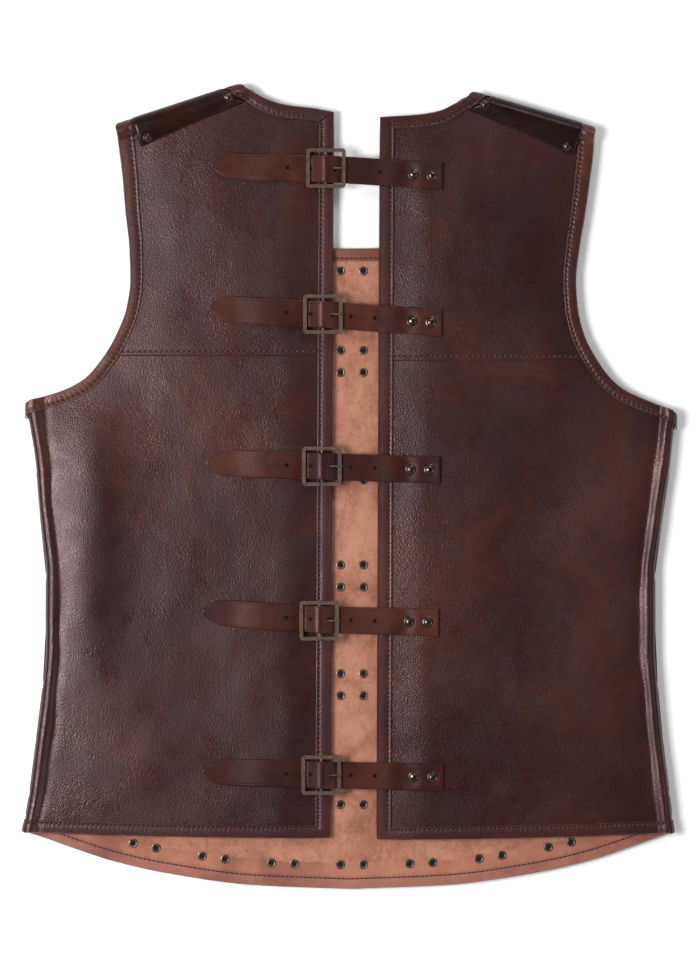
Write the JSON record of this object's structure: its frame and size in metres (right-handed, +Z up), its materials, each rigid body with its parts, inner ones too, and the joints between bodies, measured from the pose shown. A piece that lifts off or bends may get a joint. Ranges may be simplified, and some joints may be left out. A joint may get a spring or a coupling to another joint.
{
  "type": "leather brigandine",
  "caption": "Sleeveless leather body armour laid flat on its plated front, its open back closed by buckled straps over a suede lining side.",
  "frame": {"origin": "centre of the bounding box at its underside, where the front plates rest", "axes": "+X across the garment to the right as seen from above, +Y along it towards the neck, +Z up through its thickness"},
  "size_m": [0.5909, 0.7256, 0.0248],
  "materials": {
    "dark_leather": "waxed, very dark reddish brown",
    "binding_leather": "waxed, reddish brown",
    "strap_leather": "burnished brown",
    "suede_leather": "rough tan flesh side",
    "plate_leather": "hardened, waxed, dark brown",
    "antique_brass": "antiqued, worn brighter on its edges"
  },
  "bodies": {
    "root": {"back_armhole_binding_left": "binding_leather", "back_armhole_binding_right": "binding_leather", "back_hem_binding_left": "binding_leather", "back_hem_binding_right": "binding_leather", "back_lower_left": "dark_leather", "back_lower_right": "dark_leather", "back_neck_binding_left": "binding_leather", "back_neck_binding_right": "binding_leather", "back_opening_binding_left": "binding_leather", "back_opening_binding_right": "binding_leather", "back_upper_left": "dark_leather", "back_upper_right": "dark_leather", "buckle_1": "antique_brass", "buckle_2": "antique_brass", "buckle_3": "antique_brass", "buckle_4": "antique_brass", "buckle_5": "antique_brass", "chape_1": "strap_leather", "chape_2": "strap_leather", "chape_3": "strap_leather", "chape_4": "strap_leather", "chape_5": "strap_leather", "front_armhole_binding_left": "binding_leather", "front_armhole_binding_right": "binding_leather", "front_hem_binding": "binding_leather", "front_neck_binding": "binding_leather", "front_panel": "suede_leather", "guard_rivet_arm_left": "antique_brass", "guard_rivet_arm_right": "antique_brass", "guard_rivet_neck_left": "antique_brass", "guard_rivet_neck_right": "antique_brass", "plate_row_1": "plate_leather", "plate_row_2": "plate_leather", "plate_row_3": "plate_leather", "plate_row_4": "plate_leather", "plate_row_5": "plate_leather", "plate_row_6": "plate_leather", "prong_1": "antique_brass", "prong_2": "antique_brass", "prong_3": "antique_brass", "prong_4": "antique_brass", "prong_5": "antique_brass", "shoulder_guard_left": "dark_leather", "shoulder_guard_right": "dark_leather", "strap_1": "strap_leather", "strap_1_rivet_inner": "antique_brass", "strap_1_rivet_outer": "antique_brass", "strap_2": "strap_leather", "strap_2_rivet_inner": "antique_brass", "strap_2_rivet_outer": "antique_brass", "strap_3": "strap_leather", "strap_3_rivet_inner": "antique_brass", "strap_3_rivet_outer": "antique_brass", "strap_4": "strap_leather", "strap_4_rivet_inner": "antique_brass", "strap_4_rivet_outer": "antique_brass", "strap_5": "strap_leather", "strap_5_rivet_inner": "antique_brass", "strap_5_rivet_outer": "antique_brass"}
  },
  "joints": []
}
